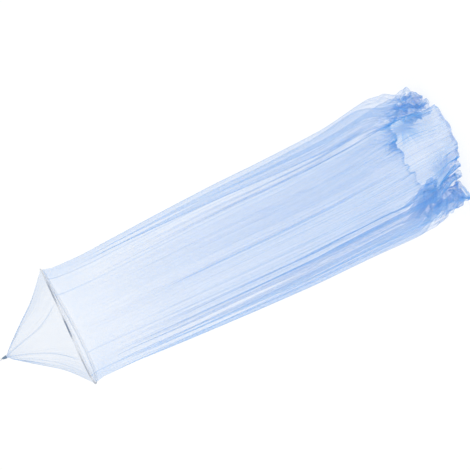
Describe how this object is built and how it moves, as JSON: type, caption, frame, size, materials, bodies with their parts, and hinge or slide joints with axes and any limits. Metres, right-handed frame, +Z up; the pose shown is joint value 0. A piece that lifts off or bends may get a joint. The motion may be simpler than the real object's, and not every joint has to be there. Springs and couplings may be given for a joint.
{
  "type": "mosquito net canopy with hoop",
  "caption": "Sheer blue net hung from a ceiling: a cone-shaped roof over a wire hoop and a long flared skirt that falls in uneven folds and gathers on the floor.",
  "frame": {"origin": "where the ceiling hook bears inside the top of the hanging loop", "axes": "+Z up along the net's axis, -Y to the front, +X to the right as seen from the front"},
  "size_m": [0.7407, 0.7619, 2.3821],
  "materials": {
    "net": "sheer sky-blue polyester net, matt",
    "casing": "net folded double over the hoop and stitched",
    "tape": "grey-blue woven tape",
    "wire": "bright drawn spring-steel wire"
  },
  "bodies": {
    "root": {"hanging_loop": "tape", "tip_cap": "tape", "roof_gore_1": "net", "roof_gore_2": "net", "roof_gore_3": "net", "roof_gore_4": "net", "hoop": "wire", "hoop_casing": "casing", "skirt_panel_1": "net", "skirt_panel_2": "net", "skirt_panel_3": "net", "skirt_panel_4": "net"}
  },
  "joints": []
}
